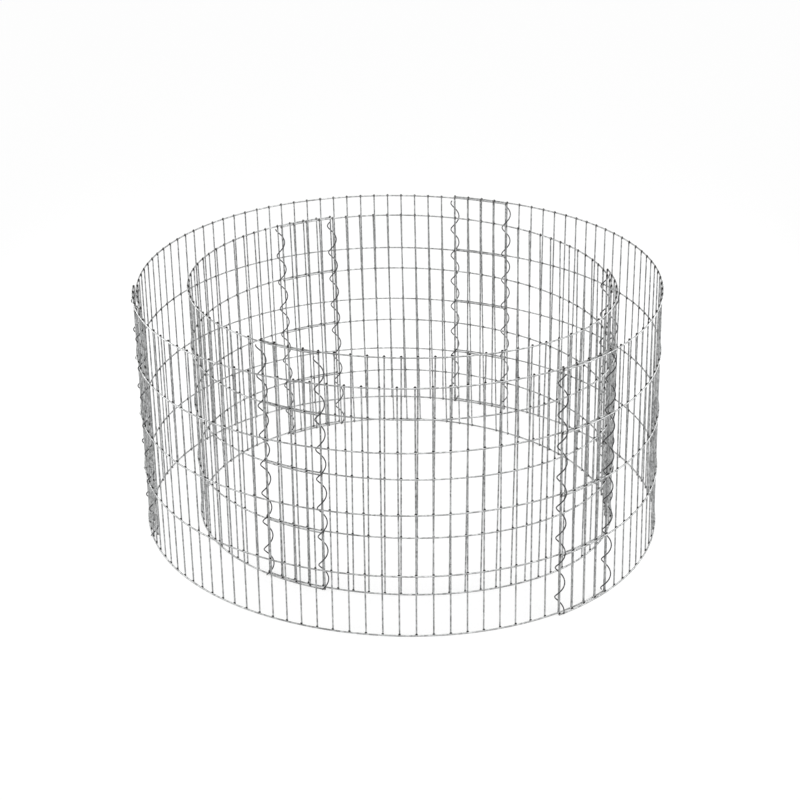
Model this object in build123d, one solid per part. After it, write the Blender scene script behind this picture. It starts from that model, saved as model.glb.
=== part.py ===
from build123d import *
from math import cos, pi, radians, sin
import os

# Round gabion basket: two upright rings of welded wire mesh, one inside the other.
# Each ring is three rolled panels whose ends lap, and each lap is laced shut by two
# spirals of wire, one wound round the doubled uprights at each end of the lap.
# Millimetres, +Z up, origin on the ground at the centre of the outer ring.

# Mesh
wire = 2.5             # mesh wire, drawn as a square bar of this width
weld = 0.6             # how far a horizontal is pressed into the uprights behind it
upright_spacing = 25
row_spacing = 100
rows = 4               # cells up the height
overhang = 1.2         # uprights stand this far past the top wire

# Rings
panels = 3             # panels round each ring
lap_cells = 4          # cells by which neighbouring panels lap
outer_cells = 40       # cells along an outer panel
gap_cells = 8          # fewer along an inner panel, which leaves the gap between the rings
section_cells = 8      # most cells in a section, by which the rolled panels are drawn
outer_oval = 9.1       # a ring stands this much longer, and shorter, than round
inner_oval = 17.7
outer_turn = -54.6     # direction of a ring's long axis, degrees round from +X
inner_turn = -21.4
outer_joint = 123      # first joint of a ring, degrees round from its long axis
inner_joint = 139.4
outer_depths = (7.5, 6.5, 5.2)  # from upright to upright between the panels lapped at each joint
inner_depths = (7.5, 5.2, 7.5)

# Spirals
spiral_wire = 2        # drawn as a square bar too
turns_per_row = 2
coil = 7.3             # radius of a spiral, to the middle of its wire
spiral_foot = 1.5      # from the ground to a spiral's lower end
spiral_head = 7.2      # from a spiral's upper end to the tips of the uprights
seat = 0.3             # clearance between a spiral and the inner of the uprights that it holds
outer_hang_shares = ((0.264, 0), (0, 0.5), (0.4, 0))      # share of a turn, counted up from a row, at
inner_hang_shares = ((0, 0.264), (0.5, 0.5), (0.28, 0.5)) # which each joint's two spirals come inward

full_turn = 360
half = 0.5             # share of a width on either side of its middle

height = rows * row_spacing + wire + overhang
inner_cells = outer_cells - gap_cells
step_out = wire - weld
spiral_pitch = row_spacing / turns_per_row
spiral_rise = height - spiral_foot - spiral_head


class Ring:
    """The line that a ring's horizontals follow, with an upright at each of its stations. Each
    panel laps inside (-1) or outside (+1) its neighbours at its two ends, by the joints' depths."""

    def __init__(self, cells, oval, turn, first_joint, sides, depths):
        self.cells = cells
        self.ends = [
            (sides[i][0] * depths[i], sides[i][1] * depths[(i + 1) % panels]) for i in range(panels)
        ]
        self.run = cells - lap_cells
        self.count = panels * self.run
        self.radius = self.count * upright_spacing / (2 * pi)
        self.first = first_joint / full_turn
        self.line = Rot(0, 0, turn) * Edge.make_ellipse(self.radius + oval, self.radius - oval)

    def station(self, k):
        """The place on the line and the outward direction at upright k."""
        share = (self.first + k / self.count) % 1
        along = self.line.tangent_at(share)
        return self.line.position_at(share), Vector(along.Y, -along.X)

    def upright(self, k, panel):
        """The middle of a panel's upright k, just inside the horizontals, and the outward
        direction. A panel keeps its length by swinging away between its lapped ends."""
        place, out = self.station(k)
        first, last = self.ends[panel]
        along = (k / self.run - panel) * 2 - 1
        lean = (last - first) * half * along
        bow = (last + first) * half * (3 * along**2 - 1) * half
        return place + out * ((lean + bow) * half - step_out), out


def section_solid(ring, panel, first, last, closed):
    """Mesh from upright first up to, and if closed with, upright last. Its horizontals run
    straight from upright to upright, and butt against those of the next section."""
    uprights = range(first, last + closed)
    bar = Box(wire, wire, height, align=(Align.CENTER, Align.CENTER, Align.MIN))
    bars = []
    line = []
    for k in uprights:
        place, out = ring.upright(k, panel)
        bars.append(Plane(place, x_dir=out, z_dir=(0, 0, 1)) * bar)
        line.append((place + out * step_out, out))
    for k, side, slot in ((first, -1, 0), (last, 2 * closed - 1, len(line) + 1)):
        place, out = ring.upright(k, panel)
        along = Vector(-out.Y, out.X)
        line.insert(slot, (place + out * step_out + along * (side * wire * half), out))

    edge = [place + out * (wire * half) for place, out in line]
    edge += [place - out * (wire * half) for place, out in reversed(line)]
    strip = make_face(Polyline(*edge, close=True))
    for row in range(rows + 1):
        bars.append(extrude(Pos(0, 0, row * row_spacing) * strip, wire, dir=(0, 0, 1)))
    return Solid.fuse(*[bar.solid() for bar in bars])


def panel_sections(ring, panel):
    """A rolled panel in even sections, each nearly flat."""
    first = panel * ring.run - lap_cells // 2
    count = -(-ring.cells // section_cells)
    stops = [first + ring.cells * i // count for i in range(count + 1)]
    return [
        section_solid(ring, panel, start, stop, stop == stops[-1])
        for start, stop in zip(stops, stops[1:])
    ]


def spiral_solid(a, b, out, hang_share):
    """A spiral round the uprights at a and b, seated against the inner of the two."""
    lead = full_turn * ((spiral_foot - wire * half) / spiral_pitch - hang_share)
    line = Rot(0, 0, lead) * Helix(spiral_pitch, spiral_rise, coil)
    section = Plane(line @ 0, x_dir=(cos(radians(lead)), sin(radians(lead)), 0), z_dir=line % 0)
    solid = sweep(section * Rectangle(spiral_wire, spiral_wire), path=line, is_frenet=True)
    shift = coil - ((a - b).length + wire + spiral_wire) * half - seat
    foot = (a + b) * half + out * shift + Vector(0, 0, spiral_foot)
    return Plane(foot, x_dir=out * -1, z_dir=(0, 0, 1)) * solid


def make_ring(name, ring, panel_names, joint_names, hang_shares):
    """All the pieces of one ring, by node name."""
    pieces = {}
    for i, place in enumerate(panel_names):
        for n, section in enumerate(panel_sections(ring, i), 1):
            pieces[f"{name}_panel_{place}_{n}"] = section
    for i, place in enumerate(joint_names):
        for end, k in enumerate((-(lap_cells // 2), lap_cells // 2)):
            a, out = ring.upright(i * ring.run + k, i)
            b, _ = ring.upright((i or panels) * ring.run + k, (i or panels) - 1)
            pieces[f"{name}_spiral_{place}_{end + 1}"] = spiral_solid(a, b, out, hang_shares[i][end])
    return pieces


# Panels and joints run anticlockwise from each ring's first joint.
outer = Ring(
    outer_cells, outer_oval, outer_turn, outer_joint, ((-1, -1), (1, -1), (1, 1)), outer_depths
)
inner = Ring(
    inner_cells, inner_oval, inner_turn, inner_joint, ((1, 1), (-1, 1), (-1, -1)), inner_depths
)
pieces = make_ring(
    "outer", outer, ("back_left", "front_left", "right"), ("back", "left", "front"), outer_hang_shares
)
pieces |= make_ring(
    "inner", inner, ("left", "front", "back_right"), ("back", "front", "right"), inner_hang_shares
)

os.makedirs("parts", exist_ok=True)
for node, solid in pieces.items():
    export_step(solid, f"parts/{node}.step")
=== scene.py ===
# %% [markdown]
# The welds' dark is burnt zinc, and also painted shade in the corners where the wires cross.
# # A round gabion basket in galvanised wire
#
# A gabion is a wire basket that is filled with stones. This one is round: two rings of
# welded mesh stand one inside the other, so that stones go between them and soil or a
# plant goes in the middle. It is empty here, and every wire shows.
#
# The frame holds the basket as square bars in short sections, which is all that collision
# needs. The bars could be given a finish and left showing, but a flat side catches the
# light in one band, and drawn wire is round. So this lesson replaces them: round wire, the
# small burnt welds where wires cross, the spirals that lace the panels together, and zinc
# that is dull, faintly spangled, and darker where it was welded or cut.
#
# Every piece is in metres and rides on the frame's one body.

from math import cos, pi, radians, sin, tau

import bpy
import numpy as np
from mathutils import Matrix, Vector


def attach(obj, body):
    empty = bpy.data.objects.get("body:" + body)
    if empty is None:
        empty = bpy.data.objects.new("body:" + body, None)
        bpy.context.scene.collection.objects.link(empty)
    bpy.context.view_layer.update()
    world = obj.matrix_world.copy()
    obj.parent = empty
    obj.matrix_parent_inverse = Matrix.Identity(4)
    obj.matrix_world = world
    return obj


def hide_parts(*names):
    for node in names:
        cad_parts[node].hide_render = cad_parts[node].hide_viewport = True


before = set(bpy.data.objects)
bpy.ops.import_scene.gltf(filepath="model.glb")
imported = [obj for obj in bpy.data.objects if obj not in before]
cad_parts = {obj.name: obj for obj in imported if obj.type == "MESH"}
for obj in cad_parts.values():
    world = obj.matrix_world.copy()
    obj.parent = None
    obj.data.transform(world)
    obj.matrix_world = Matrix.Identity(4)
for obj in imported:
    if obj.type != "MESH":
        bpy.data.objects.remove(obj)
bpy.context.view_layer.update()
print("CAD nodes:", len(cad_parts))

# %% [markdown]
# ## Mesh
#
# The mesh is one gauge of wire: an upright every 25 mm and a horizontal every 100 mm,
# pressed a little into the uprights as it is welded to them. These sizes could be measured
# from the frame's nodes. A lattice is easier to follow from the sizes that it was designed
# by, so they are written out.

# %% Mesh sizes
MM = 0.001
WIRE = 0.0025
WELD = 0.0006              # how far crossing wires are pressed together
UPRIGHT_SPACING = 0.025
ROW_SPACING = 0.1
ROWS = 4
OVERHANG = 0.0012          # uprights stand this far past the top wire

HEIGHT = ROWS * ROW_SPACING + WIRE + OVERHANG
STEP_OUT = WIRE - WELD     # from the uprights' line out to the horizontals' line
UP = np.array([0.0, 0.0, 1.0])

# %% [markdown]
# ## The line of a ring
#
# A ring is sprung sheet, held in shape by its own laps, so a real one is never quite round,
# nor quite the same at the top as at the foot. The frame has it as a plain oval. A curve
# object could follow the real line, but its control points would say little about the
# shape. So a line here is a circle with a few waves in its radius: two waves to the round
# make it oval, three make it faintly three-sided. It is divided evenly by its length, and
# station k is where upright k stands.

# %% Line
LINE_POINTS = 2881         # every eighth of a degree, and the first point once more


class Line:
    def __init__(self, girth, centre, waves, start):
        """waves holds the cosine and sine of two, three and four waves to the round.
        start is how far station 0 is along the line from +X. All three are in millimetres."""
        centre, waves, start = (np.array(x) * MM for x in (centre, waves, start))
        turn = np.linspace(0, tau, LINE_POINTS)
        radius = girth / tau + sum(
            c * np.cos(n * turn) + s * np.sin(n * turn) for n, (c, s) in enumerate(waves, 2))
        points = np.stack([radius * np.cos(turn), radius * np.sin(turn), 0 * turn], 1)
        steps = np.linalg.norm(np.diff(points, axis=0), axis=1)
        self.girth, self.start = girth, start
        self.runs = np.concatenate([[0], np.cumsum(steps)]) * girth / steps.sum()
        self.points = points * girth / steps.sum() + [*centre, 0]

    def place(self, run):
        run = (self.start + run) % self.girth
        return np.array([np.interp(run, self.runs, self.points[:, i]) for i in range(3)])


circle = Line(tau, centre=(0, 0), waves=((0, 0), (0, 0), (0, 0)), start=0)
print("a quarter of the way round a plain circle:", circle.place(tau / 4).round(3))

# %% [markdown]
# ## Lapped panels
#
# A ring is three rolled panels. Each laps the next by four cells and passes inside or
# outside it by a few millimetres, so that the two can be laced together. A panel that
# passes outside at both ends has to swing in between them to keep its length, and one that
# passes inside swings out. Each panel could be modelled flat and bent by a modifier, but
# then two lapped panels would share no line. So one function gives the place of any wire,
# from its station, its panel and its share of the height.

# %% Ring
PANELS = 3
LAP_CELLS = 4
LOOK_ASIDE = UPRIGHT_SPACING / 8   # to either side of a station, to see which way its line runs


class Ring:
    def __init__(self, cells, foot, top, foot_slips, top_slips, sides, depths):
        """sides says for each panel whether its two ends lap inside (-1) or outside (+1), and
        depths how far apart the uprights lapped at each joint are. A panel's slips are how far
        it has crept along the line at its start, middle and end, in millimetres."""
        self.cells = cells
        self.slips = np.array([foot_slips, top_slips]) * MM
        self.ends = [
            (sides[i][0] * depths[i], sides[i][1] * depths[(i + 1) % PANELS])
            for i in range(PANELS)]
        self.run = cells - LAP_CELLS
        self.count = PANELS * self.run
        self.lines = [Line(self.count * UPRIGHT_SPACING, **line) for line in (foot, top)]

    def wire_line(self, k, panel, share):
        """Where a panel's horizontals pass station k, whole or between two, at a share of the
        height, and the way out."""
        along = (k / self.run - panel) * 2 - 1
        foot, top = (
            [line.place(k * UPRIGHT_SPACING + np.interp(along, (-1, 0, 1), slips[panel]) + step)
             for step in (-LOOK_ASIDE, 0, LOOK_ASIDE)]
            for line, slips in zip(self.lines, self.slips))
        before, place, after = (f * (1 - share) + t * share for f, t in zip(foot, top))
        out = np.cross(after - before, UP)
        out /= np.linalg.norm(out)
        first, last = self.ends[panel]
        lean = (last - first) / 2 * along
        bow = (last + first) / 2 * (3 * along**2 - 1) / 2
        return place + out * (lean + bow) / 2, out

    def upright(self, k, panel, share):
        place, out = self.wire_line(k, panel, share)
        return place - out * STEP_OUT, out


# %% [markdown]
# ## The two rings
#
# The outer ring has 108 cells round and the inner one 84. They could stand on the frame's
# plain ovals. The real ones lean and have crept at their laps, which shows where the near
# and far wires cross in the view, so these lines were fitted to the uprights and rows in
# the photograph. They stand off the frame's by 13 mm at most and by 4 to 6 mm on average.

# %% The outer ring
outer = Ring(
    cells=40,
    foot=dict(centre=(1.2, -3.3), waves=((-4.5, -9.6), (-0.1, -0.1), (-0.8, 1.4)), start=507.9),
    top=dict(centre=(0.9, 0.9), waves=((-5.2, -6.2), (0.0, 0.8), (-1.3, 2.2)), start=512.8),
    foot_slips=((0.0, -4.1, -0.9), (3.5, -2.3, 6.1), (2.0, 5.0, 3.4)),
    top_slips=((-0.5, -2.4, 0.7), (3.0, -0.1, 4.1), (0.4, 1.6, 0.1)),
    sides=((-1, -1), (1, -1), (1, 1)),
    depths=(0.0075, 0.0065, 0.0052))
print("outer ring:", outer.count, "cells,", round(outer.lines[0].girth, 3), "m round")

# %% The inner ring
inner = Ring(
    cells=32,
    foot=dict(centre=(2.5, 2.0), waves=((10.8, -10.9), (0.3, -3.8), (-0.3, -0.5)), start=680.1),
    top=dict(centre=(0.9, -4.0), waves=((9.2, -13.5), (0.2, -2.9), (-1.2, -0.6)), start=683.2),
    foot_slips=((-1.5, 1.5, 6.8), (0.9, 2.1, -1.2), (3.9, -1.9, -4.5)),
    top_slips=((-3.5, 0.6, 5.1), (2.1, 4.1, -1.7), (0.6, -0.6, -6.8)),
    sides=((1, 1), (-1, 1), (-1, -1)),
    depths=(0.0075, 0.0057, 0.0075))
print("inner ring:", inner.count, "cells,", round(inner.lines[0].girth, 3), "m round")

# %% [markdown]
# ## One mesh for a welded piece
#
# A welded panel is one piece of metal, though it is made of dozens of wires. Each wire
# could be a curve with a round bevel, which is quick, but such a curve's points carry no
# values for a material to read. So all the wire of a piece goes into one mesh, and two
# values ride on its points: `weld`, which is 1 at a weld and fades away from it, and `cut`,
# which is 1 at a sheared end. The UV map runs along the wire in metres and once round it.

# %% Wire mesh
class WireMesh:
    def __init__(self):
        self.points, self.weld, self.cut = [], [], []
        self.faces, self.uvs, self.flat = [], [], []

    def add_points(self, points, weld, cut):
        """The number of the first of the new points is returned."""
        start = len(self.points)
        self.points.extend(points)
        self.weld.extend(weld)
        self.cut.extend(cut)
        return start

    def add_face(self, corners, uvs=None, flat=False):
        self.faces.append(corners)
        self.uvs += uvs or [(0, 0)] * len(corners)
        self.flat.append(flat)


# %% [markdown]
# ## Round wire
#
# Drawn wire is a plain round bar with a sheared face at each end. It could be made with a
# skin modifier or a bevelled curve. A row of rings of points, joined by faces, gives the
# same shape and leaves each ring free to sit exactly where a weld begins or ends. Eight
# sides with smooth shading look round at this size, and the sheared ends stay flat.

# %% Wire
WIRE_SIDES = 8
# Round a weld, the dark is burnt zinc and painted shade: the side of an upright that faces its
# horizontal is painted darker, for the shade between the two wires.
BURN_MIDDLE = 0.8          # how burnt a weld leaves the sides of a wire,
BURN_AND_SHADE_SWING = 0.2           # and how much more the near side, or less the far one


def add_wire(wires, path, across, upward, radius, weld=None):
    """A wire along path. across and upward span its section at each point."""
    path, across, upward = (np.asarray(x, float) for x in (path, across, upward))
    count = len(path)
    turn = np.arange(WIRE_SIDES) * tau / WIRE_SIDES
    ring = across[:, None] * np.cos(turn)[:, None] + upward[:, None] * np.sin(turn)[:, None]
    burnt = np.zeros(count) if weld is None else np.asarray(weld)
    ends = np.zeros(count)
    ends[[0, -1]] = 1
    start = wires.add_points(
        (path[:, None] + ring * radius).reshape(-1, 3),
        (burnt[:, None] * (BURN_MIDDLE + BURN_AND_SHADE_SWING * np.cos(turn))).ravel(),
        np.repeat(ends, WIRE_SIDES))
    run = np.concatenate([[0], np.cumsum(np.linalg.norm(np.diff(path, axis=0), axis=1))])
    for i in range(count - 1):
        row = start + i * WIRE_SIDES
        for j in range(WIRE_SIDES):
            n = (j + 1) % WIRE_SIDES
            low, high = j / WIRE_SIDES, (j + 1) / WIRE_SIDES
            wires.add_face(
                (row + j, row + n, row + WIRE_SIDES + n, row + WIRE_SIDES + j),
                [(run[i], low), (run[i], high), (run[i + 1], high), (run[i + 1], low)])
    for row, order in ((0, -1), (count - 1, 1)):
        end = start + row * WIRE_SIDES + np.arange(WIRE_SIDES)[::order]
        wires.add_face(tuple(end), [(run[row], 0)] * WIRE_SIDES, flat=True)


trial = WireMesh()
add_wire(trial, [0 * UP, UP], [(1, 0, 0)] * 2, [(0, 1, 0)] * 2, WIRE / 2)
print("a straight wire:", len(trial.points), "points,", len(trial.faces), "faces")

# %% [markdown]
# ## Weld nuggets
#
# Where two wires are welded, the current melts them together and squeezes out a little
# metal. That bead could be a bump in the material, but it has an outline against the light,
# so it is geometry: a small ball, flattened outward, between the two wires. It has few
# faces, because there are over a thousand of them.

# %% Nugget
NUGGET_SIDES = 8
NUGGET_RINGS = 3           # rings of points between its two poles


def unit_ball():
    ball = [(0, 0, -1)]
    for i in range(1, NUGGET_RINGS + 1):
        tilt = -pi / 2 + pi * i / (NUGGET_RINGS + 1)
        for j in range(NUGGET_SIDES):
            turn = tau * j / NUGGET_SIDES
            ball.append((cos(tilt) * cos(turn), cos(tilt) * sin(turn), sin(tilt)))
    ball.append((0, 0, 1))
    return np.array(ball, float)


def add_nugget(wires, middle, axes, radii):
    points = middle + unit_ball() @ (np.asarray(axes) * np.asarray(radii)[:, None])
    # Every point of a nugget is fully burnt: dark burnt zinc, and painted shade where the two
    # wires meet.
    start = wires.add_points(points, [1.0] * len(points), [0.0] * len(points))
    top = start + len(points) - 1
    last = start + 1 + (NUGGET_RINGS - 1) * NUGGET_SIDES
    for j in range(NUGGET_SIDES):
        n = (j + 1) % NUGGET_SIDES
        wires.add_face((start, start + 1 + n, start + 1 + j))
        for i in range(NUGGET_RINGS - 1):
            row = start + 1 + i * NUGGET_SIDES
            wires.add_face((row + j, row + n, row + NUGGET_SIDES + n, row + NUGGET_SIDES + j))
        wires.add_face((last + j, last + n, top))


print("points in a nugget:", len(unit_ball()))

# %% [markdown]
# ## From wires to a piece
#
# A finished piece is a Blender object that rides on the basket's body, stands for some of
# the frame's nodes and takes its finish from one slot. The values could be painted as
# colours, but an attribute holds a plain number and the material reads it by name.

# %% Piece
def finish_piece(wires, name, material, nodes):
    mesh = bpy.data.meshes.new(name)
    mesh.from_pydata([tuple(p) for p in wires.points], [], wires.faces)
    for attribute, values in (("weld", wires.weld), ("cut", wires.cut)):
        mesh.attributes.new(attribute, "FLOAT", "POINT").data.foreach_set("value", values)
    layer = mesh.uv_layers.new(name="wire")
    layer.data.foreach_set("uv", np.array(wires.uvs).ravel())
    mesh.polygons.foreach_set("use_smooth", [not flat for flat in wires.flat])
    mesh.materials.append(material)
    mesh.update()
    piece = bpy.data.objects.new(name, mesh)
    bpy.context.scene.collection.objects.link(piece)
    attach(piece, "root")
    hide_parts(*nodes)
    return piece


# %% [markdown]
# ## Node helpers
#
# A material in Blender is a tree of nodes joined by links. It could be drawn by hand in the
# shader editor. In a script, four small helpers keep it readable: one makes a group with
# its sockets, one adds a node with its settings, and two add the sums used most.

# %% Groups and nodes
def new_group(name, inputs, outputs):
    group = bpy.data.node_groups.new(name, "ShaderNodeTree")
    for socket, kind, value in inputs:
        made = group.interface.new_socket(socket, in_out="INPUT", socket_type=kind)
        made.default_value = value
    for socket, kind in outputs:
        group.interface.new_socket(socket, in_out="OUTPUT", socket_type=kind)
    return group, group.nodes.new("NodeGroupInput"), group.nodes.new("NodeGroupOutput")


def add(tree, kind, **settings):
    node = tree.nodes.new(kind)
    for key, value in settings.items():
        if key in node.inputs:
            node.inputs[key].default_value = value
        else:
            setattr(node, key, value)
    return node


# %% Sums
def math_node(tree, operation, a, b=None, clamp=False):
    node = add(tree, "ShaderNodeMath", operation=operation, use_clamp=clamp)
    for socket, value in zip(node.inputs, (a, b)):
        if isinstance(value, (int, float)):
            socket.default_value = value
        elif value is not None:
            tree.links.new(value, socket)
    return node.outputs[0]


def map_range(tree, value, low, high, to_low, to_high):
    node = add(tree, "ShaderNodeMapRange", **{
        "From Min": low, "From Max": high, "To Min": to_low, "To Max": to_high})
    tree.links.new(value, node.inputs["Value"])
    return node.outputs["Result"]


# %% [markdown]
# ## Spangle
#
# Hot zinc sets in small crystals, so each patch of wire has its own tone and its own gloss.
# Over that lie a pale bloom in patches and the fine lines that the drawing die left along
# the wire. One noise could stand for all of it, but it has no edges, and crystals do: a
# Voronoi texture gives each cell one colour, whose three channels serve as three dice. Both
# wires share this, so it is a group that puts out a tone, a gloss and a height.

# %% Spangle group
CRYSTAL_SIZE = 0.004
CRYSTAL_TONE = 0.4             # a crystal is up to this share darker or paler
CRYSTAL_GLOSS = (-0.08, 0.1)   # and this much smoother or rougher
CRYSTAL_HEIGHT = 0.4           # how far crystals stand out, beside the die lines
BLOOM_SCALE, BLOOM_DETAIL = 38.0, 3.0
BLOOM_NOISE = (0.35, 0.7)      # the noise between these two
BLOOM_TONE = (-0.12, 0.16)     # becomes a tone between these
DIE_LINES = (90, 14, 1)        # strokes to a metre along the wire, and to one turn round it
DIE_LINE_DETAIL = 2.0


def spangle_group():
    group, inp, out = new_group(
        "zinc spangle",
        [("Crystal size", "NodeSocketFloat", CRYSTAL_SIZE)],
        [("Tone", "NodeSocketFloat"), ("Gloss", "NodeSocketFloat"), ("Height", "NodeSocketFloat")])
    place = add(group, "ShaderNodeTexCoord").outputs["Object"]
    scale = math_node(group, "DIVIDE", 1.0, inp.outputs["Crystal size"])
    crystals = add(group, "ShaderNodeTexVoronoi", feature="F1")
    group.links.new(place, crystals.inputs["Vector"])
    group.links.new(scale, crystals.inputs["Scale"])
    dice = add(group, "ShaderNodeSeparateColor")
    group.links.new(crystals.outputs["Color"], dice.inputs[0])

    bloom = add(group, "ShaderNodeTexNoise", Scale=BLOOM_SCALE, Detail=BLOOM_DETAIL)
    group.links.new(place, bloom.inputs["Vector"])
    strokes = add(group, "ShaderNodeMapping")
    strokes.inputs["Scale"].default_value = DIE_LINES
    uv = add(group, "ShaderNodeUVMap", uv_map="wire")
    group.links.new(uv.outputs["UV"], strokes.inputs["Vector"])
    lines = add(group, "ShaderNodeTexNoise", Scale=1.0, Detail=DIE_LINE_DETAIL)
    group.links.new(strokes.outputs["Vector"], lines.inputs["Vector"])

    crystal_tone = map_range(group, dice.outputs[0], 0, 1, -CRYSTAL_TONE, CRYSTAL_TONE)
    bloom_tone = map_range(group, bloom.outputs["Fac"], *BLOOM_NOISE, *BLOOM_TONE)
    tone = math_node(group, "ADD", crystal_tone, bloom_tone)
    group.links.new(math_node(group, "ADD", tone, 1.0), out.inputs["Tone"])
    group.links.new(map_range(group, dice.outputs[1], 0, 1, *CRYSTAL_GLOSS), out.inputs["Gloss"])
    height = math_node(group, "MULTIPLY", dice.outputs[2], CRYSTAL_HEIGHT)
    group.links.new(math_node(group, "ADD", height, lines.outputs["Fac"]), out.inputs["Height"])
    return group


zinc_spangle = spangle_group()
print("group:", zinc_spangle.name, "with", len(zinc_spangle.nodes), "nodes")

# %% [markdown]
# ## Burnt and bare zinc, with painted shade at the welds
#
# The heat of a weld burns the zinc to a dark matt scale, and shears leave a bare grey end.
# At a weld the dark is also painted shade, for the corner where the two wires cross. Both
# could be dark patches of noise, but they belong at known places, so this group reads the
# values that ride on the wire. A fine grain breaks their edges up, so that a burn ends
# raggedly and not in a neat band.

# %% Burn group
BURN_GRAIN, BURN_GRAIN_DETAIL = 900.0, 2.0
GRAIN_NOISE = (0.3, 0.7)       # the noise between these two
GRAIN_SHARE = 0.3              # adds or takes away up to this share of a burn
BURN_REACH = 0.35              # a value below this shows no burn,
BURN_GAIN = 1.8                # and above it the burn comes on this fast


def burn_and_shade_group():
    group, inp, out = new_group(
        "burnt zinc and weld shade",
        [("Reach", "NodeSocketFloat", BURN_REACH)],
        [("Burn and shade", "NodeSocketFloat"), ("Bare", "NodeSocketFloat")])
    place = add(group, "ShaderNodeTexCoord").outputs["Object"]
    grain = add(group, "ShaderNodeTexNoise", Scale=BURN_GRAIN, Detail=BURN_GRAIN_DETAIL)
    group.links.new(place, grain.inputs["Vector"])
    ragged = map_range(group, grain.outputs["Fac"], *GRAIN_NOISE, -GRAIN_SHARE, GRAIN_SHARE)
    # The weld value gives the mask for burnt zinc and its painted shade; the cut value gives the
    # mask for bare steel.
    for name, socket in (("weld", "Burn and shade"), ("cut", "Bare")):
        value = add(group, "ShaderNodeAttribute", attribute_name=name).outputs["Fac"]
        edge = math_node(group, "ADD", value, math_node(group, "MULTIPLY", ragged, value))
        mask = math_node(group, "SUBTRACT", edge, inp.outputs["Reach"])
        burn = math_node(group, "MULTIPLY", mask, BURN_GAIN, clamp=True)
        group.links.new(burn, out.inputs[socket])
    return group


zinc_burn_and_shade = burn_and_shade_group()
print("group:", zinc_burn_and_shade.name, "with", len(zinc_burn_and_shade.nodes), "nodes")

# %% [markdown]
# ## The two wires' zinc
#
# The mesh is welded from wire that is galvanised already, and is a pale dull grey. The
# spirals are a much darker drawn wire. The two could share one material with a switch, but
# two materials with their own colour, roughness and crystal size are plainer to read and to
# export. Burnt zinc is no longer metal, so its metallic value falls as its roughness rises.
# A value that is the same all over, such as the specular level, is set on the shader's own
# socket.

# %% Zinc material
# The weld colour below is dark burnt scale and painted shade together, for the corner where the
# wires cross.
BURNT_SCALE_AND_SHADE = (0.03, 0.029, 0.028, 1)
BARE_STEEL = (0.16, 0.15, 0.145, 1)
BURN_ROUGHNESS = 0.45          # added where the zinc is burnt
ZINC_SPECULAR = 0.1
RELIEF_STRENGTH, RELIEF_HEIGHT = 0.35, 0.00012


def zinc_colour(tree, colour, spangle, burn):
    toned = add(tree, "ShaderNodeVectorMath", operation="SCALE")
    toned.inputs[0].default_value = colour
    tree.links.new(spangle.outputs["Tone"], toned.inputs["Scale"])
    colours = toned.outputs[0]
    # Welds take the dark of burnt zinc and painted shade; sheared ends take bare steel.
    for mask, tint in (("Burn and shade", BURNT_SCALE_AND_SHADE), ("Bare", BARE_STEEL)):
        mix = add(tree, "ShaderNodeMix", data_type="RGBA")
        tree.links.new(burn.outputs[mask], mix.inputs["Factor"])
        tree.links.new(colours, mix.inputs["A"])
        mix.inputs["B"].default_value = tint
        colours = mix.outputs["Result"]
    return colours


def zinc_material(name, colour, roughness, crystal_size):
    material = bpy.data.materials.new(name)
    material.use_nodes = True
    tree = material.node_tree
    shader = tree.nodes["Principled BSDF"]
    spangle = add(tree, "ShaderNodeGroup", node_tree=zinc_spangle)
    spangle.inputs["Crystal size"].default_value = crystal_size
    burn = add(tree, "ShaderNodeGroup", node_tree=zinc_burn_and_shade)

    tree.links.new(zinc_colour(tree, colour, spangle, burn), shader.inputs["Base Color"])
    gloss = math_node(tree, "ADD", spangle.outputs["Gloss"], roughness)
    matt = math_node(tree, "MULTIPLY", burn.outputs["Burn and shade"], BURN_ROUGHNESS)
    tree.links.new(math_node(tree, "ADD", gloss, matt), shader.inputs["Roughness"])
    tree.links.new(map_range(tree, burn.outputs["Burn and shade"], 0, 1, 1, 0), shader.inputs["Metallic"])
    shader.inputs["Specular IOR Level"].default_value = ZINC_SPECULAR

    bump = add(tree, "ShaderNodeBump", Strength=RELIEF_STRENGTH, Distance=RELIEF_HEIGHT)
    tree.links.new(spangle.outputs["Height"], bump.inputs["Height"])
    tree.links.new(bump.outputs["Normal"], shader.inputs["Normal"])
    return material


# %% Zinc on mesh and spirals
mesh_zinc = zinc_material(
    "galvanised mesh wire", colour=(0.355, 0.36, 0.36), roughness=0.32, crystal_size=CRYSTAL_SIZE)
spiral_zinc = zinc_material(
    "galvanised spiral wire", colour=(0.06, 0.061, 0.063), roughness=0.3, crystal_size=0.003)
print("materials:", mesh_zinc.name, "and", spiral_zinc.name)

# %% [markdown]
# ## Stops along a wire
#
# A burn is only a few millimetres long, and a wire is hundreds. Points could be spread
# evenly and close together, but nearly all of them would be wasted on plain wire. So a wire
# has points only at its ends, to either side of each weld, and where it has to bend.

# %% Stops
# Fully burnt here means the full weld colour: burnt zinc with painted shade.
WELD_CORE = 0.0018         # either side of a weld, a wire is fully burnt this far,
WELD_REACH = 0.003         # and not at all past here


def near_welds(welds, low, high, between=()):
    """The stops along a wire from low to high, and how burnt it is at each."""
    stops = {low: 0.0, high: 0.0}
    stops.update({b: 0.0 for b in between})
    for w in welds:
        for away, value in ((WELD_REACH, 0.0), (WELD_CORE, 1.0)):
            stops.update({stop: value for stop in (w - away, w + away) if low < stop < high})
    order = sorted(stops)
    return np.array(order), np.array([stops[s] for s in order])


trial_stops, _ = near_welds([0], -UPRIGHT_SPACING / 2, UPRIGHT_SPACING / 2)
print("stops across one cell, in mm:", (trial_stops / MM).round(1))

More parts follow.
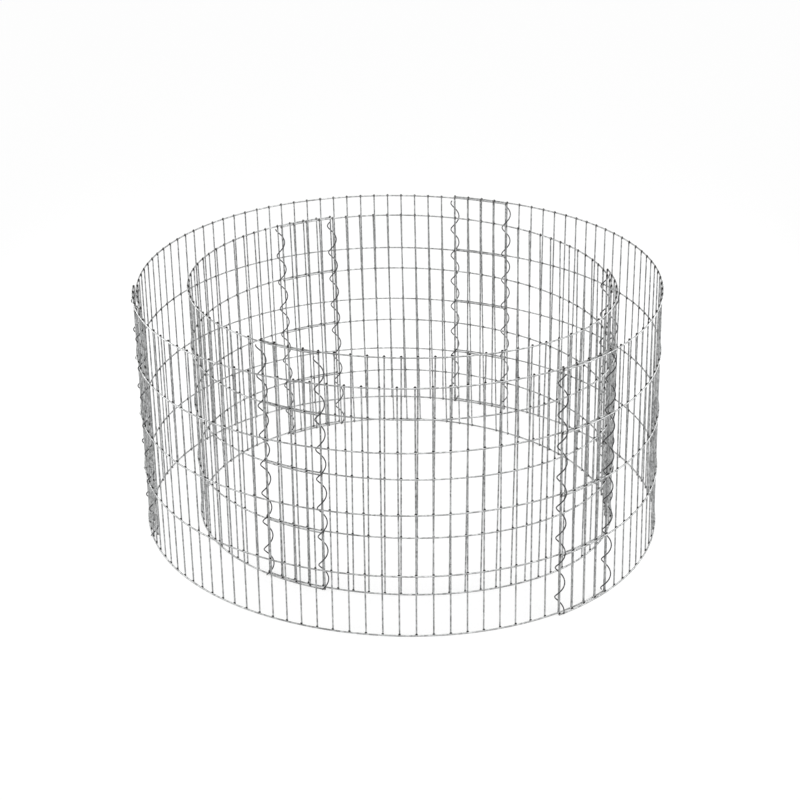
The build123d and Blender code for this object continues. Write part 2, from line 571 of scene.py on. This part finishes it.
# %% [markdown]
# ## Panels
#
# A panel's uprights stand just inside its horizontals, and each is a straight wire from the
# foot line to the top line. One cell could be repeated by an array modifier, but then each
# wire would be true, and no two wires of a real sheet are: here each upright is a little
# off its station and each row between the edges a little high or low. The horizontals have
# the same stops beside the welds, but the burn and its painted shade ride on the uprights
# and nuggets alone.

# %% Uprights
NUGGET = (0.0021, 0.0021, 0.0012)   # radii along the horizontal, up, and outward
# Raised, the dark nugget shows as a dot just above each horizontal, partly painted shade in the
# corner where the wires cross.
NUGGET_RISE = 0.0012                # the metal shows mostly above the horizontal


def add_uprights(wires, ring, panel, first, levels, drifts):
    heights, weld = near_welds(levels, 0.0, HEIGHT)
    for k, (foot_drift, top_drift) in enumerate(drifts, first):
        foot, out = ring.upright(k, panel, 0)
        top, _ = ring.upright(k, panel, 1)
        along = np.cross(UP, out)
        foot, top = foot + along * foot_drift, top + along * top_drift
        rise = top - foot + UP * HEIGHT
        path = foot + rise * heights[:, None] / HEIGHT
        add_wire(wires, path, [out] * len(path), [along] * len(path), WIRE / 2, weld)
        for level in levels:
            middle = foot + rise * level / HEIGHT + out * STEP_OUT / 2 + UP * NUGGET_RISE
            add_nugget(wires, middle, (along, UP, out), NUGGET)


# %% Horizontals
def add_horizontals(wires, ring, panel, first, levels):
    cells = np.arange(ring.cells + 1) * UPRIGHT_SPACING
    low, high = -WIRE / 2, cells[-1] + WIRE / 2
    runs, _ = near_welds(cells, low, high, cells[:-1] + UPRIGHT_SPACING / 2)
    for level in levels:
        line = [
            ring.wire_line(first + run / UPRIGHT_SPACING, panel, level / HEIGHT) for run in runs]
        path = np.array([place for place, _ in line]) + UP * level
        add_wire(wires, path, [out for _, out in line], [UP] * len(path), WIRE / 2)


# %% Panel
UPRIGHT_DRIFT = 0.0003
ROW_DRIFT = 0.0002
SECTION_CELLS = 8          # cells in each of the frame's sections of a panel
rng = np.random.default_rng(seed=11)


def make_panel(name, ring, panel, nodes):
    wires = WireMesh()
    first = panel * ring.run - LAP_CELLS // 2
    levels = WIRE / 2 + ROW_SPACING * np.arange(ROWS + 1)
    levels[1:-1] += rng.uniform(-ROW_DRIFT, ROW_DRIFT, ROWS - 1)
    drifts = rng.uniform(-UPRIGHT_DRIFT, UPRIGHT_DRIFT, (ring.cells + 1, 2))
    add_uprights(wires, ring, panel, first, levels, drifts)
    add_horizontals(wires, ring, panel, first, levels)
    return finish_piece(wires, name, mesh_zinc, nodes)


def panel_nodes(ring_name, place, ring):
    return [f"{ring_name}_panel_{place}_{n + 1}" for n in range(ring.cells // SECTION_CELLS)]


print("an outer panel replaces:", panel_nodes("outer", "right", outer))

# %% [markdown]
# ## Spirals
#
# A spiral is springy wire that is screwed down round both uprights at one end of a lap. It
# holds the panels together and can be taken out again. A screw modifier could wind it, but
# it has to lean as the uprights do, so its path is worked out: a helix on a line from the
# foot to the top, seated against the inner upright. Its turns keep step with the rows, so
# that each of them passes the horizontals without cutting into one.

# %% Axis of a spiral
SPIRAL_WIRE = 0.002
COIL = 0.0073              # radius of a spiral, to the middle of its wire
SEAT = 0.0003              # clearance between a spiral and the inner of its two uprights


def spiral_axis(ring, joint, k, share):
    """The middle of a spiral at a share of the height, and the way out."""
    before = (joint or PANELS) - 1
    a, out = ring.upright(joint * ring.run + k, joint, share)
    b, _ = ring.upright((before + 1) * ring.run + k, before, share)
    shift = COIL - (np.linalg.norm(a - b) + WIRE + SPIRAL_WIRE) / 2 - SEAT
    return (a + b) / 2 + out * shift, out


print("outer back spiral's foot:", spiral_axis(outer, 0, -(LAP_CELLS // 2), 0)[0].round(4))

# %% Spiral
SPIRAL_PITCH = ROW_SPACING / 2
SPIRAL_FOOT = 0.0015       # from the ground to a spiral's lower end
SPIRAL_HEAD = 0.0072       # from its upper end to the tips of the uprights
TURN_STEPS = 28            # points in one turn


def make_spiral(name, ring, joint, k, hang, nodes):
    """hang is the share of a turn, counted up from a row, at which the spiral comes inward."""
    wires = WireMesh()
    foot, out = spiral_axis(ring, joint, k, 0)
    top, _ = spiral_axis(ring, joint, k, 1)
    rise = HEIGHT - SPIRAL_FOOT - SPIRAL_HEAD
    count = int(rise / SPIRAL_PITCH * TURN_STEPS) + 1
    z = SPIRAL_FOOT + np.linspace(0, rise, count)
    turn = tau * ((z - WIRE / 2) / SPIRAL_PITCH - hang)
    inward, along = -out, np.cross(UP, -out)
    radial = inward * np.cos(turn)[:, None] + along * np.sin(turn)[:, None]
    onward = along * np.cos(turn)[:, None] - inward * np.sin(turn)[:, None]
    path = foot + (top - foot) * z[:, None] / HEIGHT + radial * COIL + UP * z[:, None]
    heading = onward * COIL * tau / SPIRAL_PITCH + UP
    heading /= np.linalg.norm(heading, axis=1)[:, None]
    add_wire(wires, path, radial, np.cross(heading, radial), SPIRAL_WIRE / 2)
    return finish_piece(wires, name, spiral_zinc, nodes)


# %% [markdown]
# ## Putting the rings together
#
# On the real basket each panel is bent into place, lapped with the next and laced twice, so
# a ring is three panels and six spirals. They could all be joined into one object. They
# stay apart, as they are in life, and each names the nodes of the frame that it stands for.

# %% Pieces of a ring
def make_ring(name, ring, panel_places, joint_places, hangs):
    made = []
    for i, place in enumerate(panel_places):
        nodes = panel_nodes(name, place, ring)
        made.append(make_panel(f"{name}_mesh_{place}", ring, i, nodes))
    for i, place in enumerate(joint_places):
        for end, k in enumerate((-(LAP_CELLS // 2), LAP_CELLS // 2)):
            piece, node = f"{name}_lacing_{place}_{end + 1}", f"{name}_spiral_{place}_{end + 1}"
            made.append(make_spiral(piece, ring, i, k, hangs[i][end], [node]))
    return made


# %% Both rings
pieces = make_ring(
    "outer", outer, ("back_left", "front_left", "right"), ("back", "left", "front"),
    hangs=((0.28, 0), (0, 0.5), (0.415, 0)))
pieces += make_ring(
    "inner", inner, ("left", "front", "back_right"), ("back", "front", "right"),
    hangs=((0, 0.264), (0.5, 0.5), (0.28, 0.5)))
triangles = sum(len(f.vertices) - 2 for p in pieces for f in p.data.polygons)
print("pieces:", len(pieces), "triangles:", triangles)

# %% [markdown]
# ## World
#
# The basket was photographed in a white studio, with light from all round. Brighter light
# could wash the background out to white, but it would wash the wire out too. So the world
# lights the basket gently, and is white only where it is seen: straight from the camera,
# mirrored in the zinc, or through something clear. Light Path tells those rays apart.

# %% White world
WORLD_LIGHT = 0.4
WORLD_SEEN = 1.0


def white_for_view(tree):
    """1 for rays from the camera, or off metal or through glass; 0 for the light itself."""
    path = add(tree, "ShaderNodeLightPath")
    seen = math_node(tree, "MAXIMUM", path.outputs["Is Camera Ray"], path.outputs["Is Glossy Ray"])
    return math_node(tree, "MAXIMUM", seen, path.outputs["Is Transmission Ray"])


world = bpy.data.worlds.new("studio")
bpy.context.scene.world = world
world.use_nodes = True
tree = world.node_tree
background = tree.nodes["Background"]
background.inputs["Color"].default_value = (1, 1, 1, 1)
strength = map_range(tree, white_for_view(tree), 0, 1, WORLD_LIGHT, WORLD_SEEN)
tree.links.new(strength, background.inputs["Strength"])
print("world:", world.name)

# %% [markdown]
# ## Floor
#
# The floor is white paper that runs back out of sight. A curved sweep up to a wall could
# hide the horizon, but it would show in views from the other sides. So the floor is one
# wide sheet. Its own grey takes the shadow of the wire, and a glow that only seen rays
# meet lifts it to the white of the world.

# %% Floor
FLOOR_HALF = 14.0

floor_mesh = bpy.data.meshes.new("floor")
floor_mesh.from_pydata(
    [(x * FLOOR_HALF, y * FLOOR_HALF, 0) for x, y in ((-1, -1), (1, -1), (1, 1), (-1, 1))],
    [], [(0, 1, 2, 3)])
floor = bpy.data.objects.new("floor", floor_mesh)
bpy.context.scene.collection.objects.link(floor)
print("floor:", 2 * FLOOR_HALF, "m wide")

# %% White paper
FLOOR_GREY = 0.36
FLOOR_GLOW = 0.68

paper = bpy.data.materials.new("white floor")
paper.use_nodes = True
tree = paper.node_tree
shader = tree.nodes["Principled BSDF"]
shader.inputs["Base Color"].default_value = (FLOOR_GREY, FLOOR_GREY, FLOOR_GREY, 1)
shader.inputs["Roughness"].default_value = 1.0
shader.inputs["Specular IOR Level"].default_value = 0.0
shader.inputs["Emission Color"].default_value = (1, 1, 1, 1)
glow = math_node(tree, "MULTIPLY", white_for_view(tree), FLOOR_GLOW)
tree.links.new(glow, shader.inputs["Emission Strength"])
floor_mesh.materials.append(paper)
print("material:", paper.name)

# %% [markdown]
# ## Lamps
#
# One broad light overhead gives the soft shadow, and a long low box on each side gives the
# white line along the rows there. The overhead light could be an area lamp, which is
# stronger near its middle; a sun with a wide angle is as soft and lights the basket evenly.
# The boxes are hidden from the camera, and the wire still mirrors them.

# %% Overhead light
def soft_sun(name, toward, spread, strength):
    """Even light from one broad part of the sky. toward points from the basket to it."""
    light = bpy.data.lights.new(name, "SUN")
    light.angle = radians(spread)
    light.energy = strength
    lamp = bpy.data.objects.new(name, light)
    bpy.context.scene.collection.objects.link(lamp)
    lamp.rotation_euler = Vector(toward).to_track_quat("Z", "Y").to_euler()
    return lamp


sun = soft_sun("overhead softbox", toward=(0.25, -0.3, 1.0), spread=60, strength=1.5)
print("lamp:", sun.name)

# %% Side lights
BOX_LENGTH, BOX_HEIGHT = 1.6, 0.5
BOX_AWAY, BOX_BACK, BOX_RISE = 0.95, 0.2, 0.5
BOX_RADIANCE = 2.4


def side_softbox(name, side):
    """A long low box beside the basket, which the rows on that side mirror as a white line."""
    light = bpy.data.lights.new(name, "AREA")
    light.shape = "RECTANGLE"
    light.size, light.size_y = BOX_LENGTH, BOX_HEIGHT
    light.energy = BOX_RADIANCE * pi * BOX_LENGTH * BOX_HEIGHT
    lamp = bpy.data.objects.new(name, light)
    bpy.context.scene.collection.objects.link(lamp)
    lamp.location = (side * BOX_AWAY, BOX_BACK, BOX_RISE)
    lamp.rotation_euler = Vector((side, 0, 0)).to_track_quat("Z", "Y").to_euler()
    lamp.visible_camera = False
    return lamp


side_lamps = [side_softbox("left softbox", -1), side_softbox("right softbox", 1)]
print("lamps:", [lamp.name for lamp in side_lamps])

# %% [markdown]
# ## Camera
#
# The camera stands where the photograph was taken from, a little above the basket and well
# back, with a long lens. It could be set by eye, but near and far wires cross at places that
# depend on it closely, so its place and lens come from fitting the rows and uprights. The
# shift is under a hundredth of the picture: it only brings the lens axis to the pixel where
# the photograph has it.

# %% Lens
IMAGE = 800                # pixels across the square picture
FOCAL_PIXELS = 1847
AXIS_PIXEL = (399.7, 392.8)   # where the lens axis meets the picture

camera = bpy.data.cameras.new("camera")
camera.sensor_width = 36
camera.lens = FOCAL_PIXELS * camera.sensor_width / IMAGE
camera.shift_x = (IMAGE / 2 - AXIS_PIXEL[0]) / IMAGE
camera.shift_y = (AXIS_PIXEL[1] - IMAGE / 2) / IMAGE
print("lens:", round(camera.lens, 1), "mm")

# %% Camera
CAMERA_DISTANCE = 3.056
ELEVATION = radians(24.18)
ROLL = radians(-0.86)
AIM = np.array([0, 0, WIRE / 2 + ROWS * ROW_SPACING / 2])

right = np.array([1, 0, 0])
forward = np.array([0, cos(ELEVATION), -sin(ELEVATION)])
upward = np.cross(right, forward)
place = AIM - forward * CAMERA_DISTANCE
turned = (right * cos(ROLL) + upward * sin(ROLL), upward * cos(ROLL) - right * sin(ROLL), -forward)
eye = bpy.data.objects.new("camera", camera)
eye.matrix_world = Matrix(
    [[*(axis[i] for axis in turned), place[i]] for i in range(3)] + [[0, 0, 0, 1]])
bpy.context.scene.collection.objects.link(eye)
bpy.context.scene.camera = eye
bpy.context.scene.view_settings.view_transform = "Standard"
print("camera at", place.round(3))
